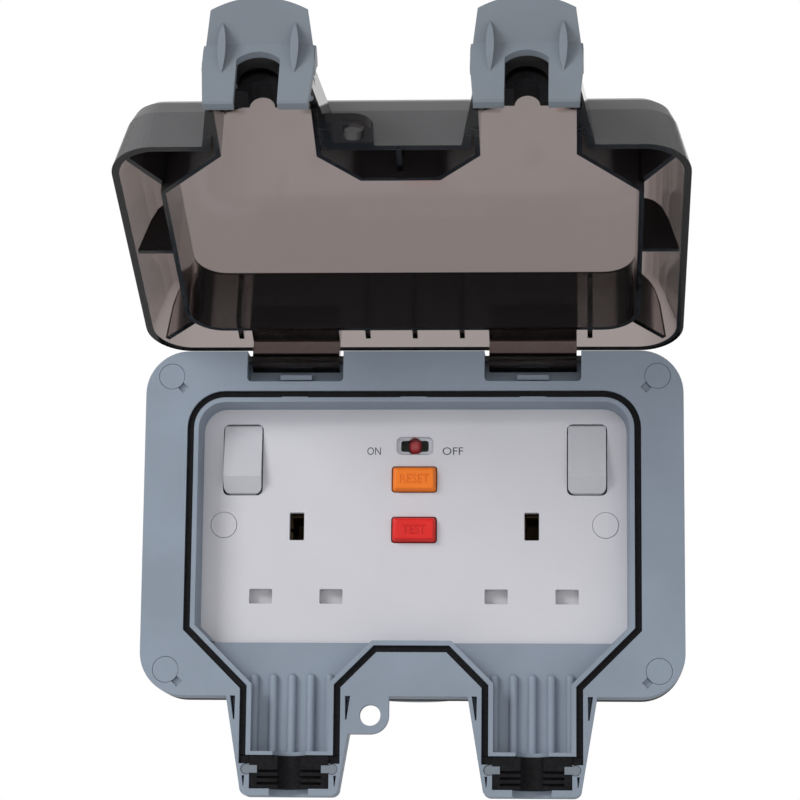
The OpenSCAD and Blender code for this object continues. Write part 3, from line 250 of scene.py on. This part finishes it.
# Where each mask of painted shade and painted light on the cover starts and is full, as distances from the
# hinge and from the middle
WALL_BESIDE_HINGE = (9 * MM, 7 * MM)
WALL_BEFORE_HINGE = (16 * MM, 14 * MM)
END_WALL_INNER = (97 * MM, 95 * MM)
END_WALL_OUTER = (113 * MM, 112 * MM)
PAINTED_LIGHT_WINDOW_X = ((51 * MM, 52 * MM), (63 * MM, 65 * MM))


def both(nodes, links, first, second):
    return math_node(nodes, links, "MULTIPLY", first, second)


def but_not(nodes, links, value, mask, share=1):
    """The value, less that share of it where the mask is 1."""
    part = math_node(nodes, links, "MULTIPLY", mask, share)
    rest = math_node(nodes, links, "SUBTRACT", 1, part)
    return both(nodes, links, value, rest)


def from_hinge(nodes, links, along, reach):
    """0 farther from the hinge than the first distance of reach, and 1 nearer than its second."""
    return step(nodes, links, along, HINGE_UP - reach[0], HINGE_UP - reach[1])


def cover_painted_shade_and_light_masks(nodes, links):
    """Masks of painted shade for the walls that lie across the cover, and of painted light for the outside
    of its end wall.

    The walls between its cells are painted dark as shade. The wall beside the hinge is left unpainted,
    and the wall before it is painted less dark, as a painted patch of light where a cell lies open behind
    it, PAINTED_LIGHT_WINDOW_X from the middle.
    The ends of the legs, past the end wall, are left out of the second mask.
    """
    coords = nodes.new("ShaderNodeTexCoord")
    along = dot_with(nodes, links, coords.outputs["Object"], LID_UP)
    aside = math_node(nodes, links, "ABSOLUTE", dot_with(nodes, links, coords.outputs["Object"], (1, 0, 0)))
    facing = dot_with(nodes, links, coords.outputs["Normal"], LID_UP)
    across = step(nodes, links, math_node(nodes, links, "ABSOLUTE", facing), 0.35, 0.6)
    beside_hinge = from_hinge(nodes, links, along, WALL_BESIDE_HINGE)
    painted_shade = but_not(nodes, links, across, beside_hinge)
    near_hinge = from_hinge(nodes, links, along, WALL_BEFORE_HINGE)
    # Painted light: a patch of the wall before the hinge is painted less dark where a cell lies open behind
    # it
    painted_light_window = both(nodes, links, near_hinge, step(nodes, links, aside, *PAINTED_LIGHT_WINDOW_X[0]))
    painted_light_window = but_not(nodes, links, painted_light_window, step(nodes, links, aside, *PAINTED_LIGHT_WINDOW_X[1]))
    painted_shade = but_not(nodes, links, painted_shade, painted_light_window, 0.4)
    # Painted light: mask for the outward faces of the end wall
    inside_end = from_hinge(nodes, links, along, END_WALL_INNER)
    outward = step(nodes, links, math_node(nodes, links, "MULTIPLY", facing, -1), 0.5, 0.95)
    painted_end_wall_light = but_not(nodes, links, outward, inside_end)
    painted_end_wall_light = both(nodes, links, painted_end_wall_light, from_hinge(nodes, links, along, END_WALL_OUTER))
    return but_not(nodes, links, painted_shade, painted_end_wall_light), painted_end_wall_light


def mixed_shader(nodes, links, mask, share, first, second):
    mix = nodes.new("ShaderNodeMixShader")
    links.new(math_node(nodes, links, "MULTIPLY", mask, share), mix.inputs[0])
    links.new(first, mix.inputs[1])
    links.new(second, mix.inputs[2])
    return mix.outputs[0]


def opaque(nodes, colour, rough, shine):
    bsdf = nodes.new("ShaderNodeBsdfPrincipled")
    bsdf.inputs["Base Color"].default_value = colour
    bsdf.inputs["Roughness"].default_value = rough
    bsdf.inputs["Specular IOR Level"].default_value = shine
    return bsdf.outputs[0]


def smoked(name):
    """Clear plastic with a dark tint that deepens with the length of the way through it. On the walls
    across the cover it is mixed with an opaque near-black as painted shade, and on the outside of the end
    wall with an opaque grey as painted light.
    """
    mat, nodes, links, bsdf = new_material(name)
    painted_shade, painted_end_wall_light = cover_painted_shade_and_light_masks(nodes, links)
    # Painted shade: an opaque near-black mixed over the walls that lie across the cover
    shader = mixed_shader(nodes, links, painted_shade, 0.85, bsdf.outputs[0],
                          opaque(nodes, linear(24, 22, 24), 0.45, 0.15))
    # Painted light: an opaque light grey mixed over the outside of the end wall
    shader = mixed_shader(nodes, links, painted_end_wall_light, 0.8, shader, opaque(nodes, linear(92, 92, 94), 0.3, 0.4))
    links.new(shader, nodes["Material Output"].inputs["Surface"])
    bsdf.inputs["Base Color"].default_value = (1, 1, 1, 1)
    bsdf.inputs["Transmission Weight"].default_value = 1
    bsdf.inputs["IOR"].default_value = 1.46
    haze = object_noise(nodes, links, 60, 3)
    gloss = nodes.new("ShaderNodeMapRange")
    gloss.inputs["To Min"].default_value = 0.06
    gloss.inputs["To Max"].default_value = 0.14
    links.new(haze, gloss.inputs["Value"])
    links.new(gloss.outputs["Result"], bsdf.inputs["Roughness"])
    tint = nodes.new("ShaderNodeVolumeAbsorption")
    tint.inputs["Color"].default_value = (0.2, 0.1, 0.075, 1)
    tint.inputs["Density"].default_value = 560
    links.new(tint.outputs[0], nodes["Material Output"].inputs["Volume"])
    return mat


def rubber(name):
    mat, nodes, links, bsdf = new_material(name)
    speckle = object_noise(nodes, links, 900, 3)
    tint = ramp(nodes, links, speckle, [(0.35, linear(12, 12, 14)), (0.75, linear(27, 27, 30))])
    links.new(tint, bsdf.inputs["Base Color"])
    bsdf.inputs["Roughness"].default_value = 0.7
    bsdf.inputs["Specular IOR Level"].default_value = 0.12
    normal = add_bump(nodes, links, speckle, 0.3, 0.15 * MM, round_edges(nodes, links, 0.2 * MM))
    links.new(normal, bsdf.inputs["Normal"])
    return mat


def metal(name, colour, rough):
    mat, nodes, links, bsdf = new_material(name)
    grain = object_noise(nodes, links, 700, 3)
    tint = ramp(nodes, links, grain, [(0.3, scaled(colour, 0.86)), (0.7, scaled(colour, 1.05))])
    links.new(tint, bsdf.inputs["Base Color"])
    bsdf.inputs["Metallic"].default_value = 1
    bsdf.inputs["Roughness"].default_value = rough
    normal = add_bump(nodes, links, grain, 0.15, 0.1 * MM, round_edges(nodes, links, 0.15 * MM))
    links.new(normal, bsdf.inputs["Normal"])
    return mat


def clear_lens(name):
    mat, nodes, links, bsdf = new_material(name)
    bsdf.inputs["Base Color"].default_value = (0.93, 0.93, 0.95, 1)
    bsdf.inputs["Transmission Weight"].default_value = 1
    bsdf.inputs["IOR"].default_value = 1.2
    ripple = object_noise(nodes, links, 300, 2)
    gloss = nodes.new("ShaderNodeMapRange")
    gloss.inputs["To Min"].default_value = 0.04
    gloss.inputs["To Max"].default_value = 0.1
    links.new(ripple, gloss.inputs["Value"])
    links.new(gloss.outputs["Result"], bsdf.inputs["Roughness"])
    return mat


MATERIALS = {
    "housing_grey": plastic("frame_plastic", linear(129, 140, 154), 0.5, 0.25, 1600, shine=0.4),
    "box_grey": plastic("box_plastic", linear(126, 137, 148), 0.55, 0.3, 1200),
    "clip_grey": plastic("clip_plastic", linear(114, 122, 131), 0.45, 0.12, 1600, shine=0.35),
    "rubber_black": rubber("seal_rubber"),
    "plate_white": plastic("plate_plastic", linear(198, 198, 204), 0.3, 0.05, 900, vary=0.02, shine=0.35),
    "cover_smoked": smoked("cover_plastic_painted_shade_and_light"),
    "button_orange": plastic("orange_plastic", linear(238, 122, 28), 0.4, 0.08, 900, shine=0.3),
    "button_red": plastic("red_plastic", linear(212, 30, 24), 0.4, 0.08, 900, shine=0.3),
    "flag_red": plastic("flag_plastic", linear(168, 8, 20), 0.2, 0.05, 900),
    "lens_clear": clear_lens("lens_plastic"),
    "case_cream": plastic("case_plastic", linear(196, 194, 186), 0.5, 0.15, 900),
    "carrier_black": plastic("carrier_plastic", linear(44, 45, 48), 0.5, 0.15, 900),
    "shutter_grey": plastic("shutter_plastic", linear(186, 186, 190), 0.4, 0.1, 900),
    "board_green": plastic("board_laminate", linear(45, 107, 63), 0.45, 0.1, 900),
    "steel": metal("plated_steel", (0.62, 0.62, 0.64, 1), 0.32),
    "brass": metal("stamped_brass", (0.78, 0.58, 0.26, 1), 0.3),
    "copper": metal("wound_copper", (0.6, 0.26, 0.1, 1), 0.4),
}


NODE_MATERIALS = {
    "rocker_left": plastic("rocker_plastic", linear(186, 187, 193), 0.35, 0.06, 900, vary=0.02, shine=0.35),
}
NODE_MATERIALS["rocker_right"] = NODE_MATERIALS["rocker_left"]
# The earth contacts get a brass far darker than the other brass
NODE_MATERIALS["earth_contacts"] = metal("darkened_earth_brass", (0.1, 0.07, 0.04, 1), 0.6)
INK = plastic("lettering_ink", linear(38, 41, 56), 0.5, 0.05, 900, edge=0.02 * MM, vary=0.04, shine=0.2)


def dress_nodes():
    """Gives every CAD node its own material, or else that of its record slot."""
    for part in frame["record"]["subparts"]:
        node = NODES[part["node"]]
        for spot in node.material_slots:
            spot.material = NODE_MATERIALS.get(part["node"], MATERIALS[part["material_slot"]])


# Lettering

PLATE_FACE = -40.6 * MM
INK_HEIGHT = 2.45 * MM
INK_THICK = 0.01 * MM
INK_Z = 24 * MM
RELIEF_HEIGHT = 2.9 * MM
RELIEF_THICK = 0.22 * MM
LETTER_SINK = 0.02 * MM


def front_of(node):
    """Frontmost y of a CAD node."""
    return min((node.matrix_world @ Vector(corner)).y for corner in node.bound_box)


def letters(name, words, width, height, centre, face, thick, material, body):
    """Flat letters of that width and height on a face that looks along -Y, standing out by thick.

    They go into the face by LETTER_SINK, so that no gap shows.
    """
    curve = bpy.data.curves.new(name, "FONT")
    curve.body = words
    curve.extrude = 0.5
    curve.offset = -0.004
    curve.resolution_u = 4
    source = bpy.data.objects.new(name + "_source", curve)
    bpy.context.collection.objects.link(source)
    mesh = bpy.data.meshes.new_from_object(source.evaluated_get(bpy.context.evaluated_depsgraph_get()))
    bpy.data.objects.remove(source)
    low = [min(v.co[k] for v in mesh.vertices) for k in range(3)]
    high = [max(v.co[k] for v in mesh.vertices) for k in range(3)]
    for v in mesh.vertices:
        x = (v.co.x - (low[0] + high[0]) / 2) / (high[0] - low[0]) * width
        z = (v.co.y - (low[1] + high[1]) / 2) / (high[1] - low[1]) * height
        out = (v.co.z - low[2]) / (high[2] - low[2]) * (thick + LETTER_SINK) - LETTER_SINK
        v.co = (centre[0] + x, face - out, centre[1] + z)
    mesh.materials.clear()
    mesh.materials.append(material)
    piece = bpy.data.objects.new(name, mesh)
    bpy.context.collection.objects.link(piece)
    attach(piece, body)


def add_lettering():
    """The generic words of the switch: its two states in ink and its two buttons in relief."""
    for name, words, width, x in (("word_on", "ON", 4.3, -12.9), ("word_off", "OFF", 6.5, 12.1)):
        letters(name, words, width * MM, INK_HEIGHT, (x * MM, INK_Z), PLATE_FACE, INK_THICK,
                INK, "base")
    for name, words, width, z, node, slot in (
            ("word_reset", "RESET", 9.2, 14.9, "reset_button", "button_orange"),
            ("word_test", "TEST", 7.2, -1.2, "test_button", "button_red")):
        letters(name, words, width * MM, RELIEF_HEIGHT, (0, z * MM), front_of(NODES[node]), RELIEF_THICK,
                MATERIALS[slot], node)


add_camera()
light_world(AMBIENT)
for lamp in LAMPS:
    add_lamp(*lamp)
add_floor()
dress_nodes()
add_lettering()

scene = bpy.context.scene
scene.view_settings.view_transform = "Standard"
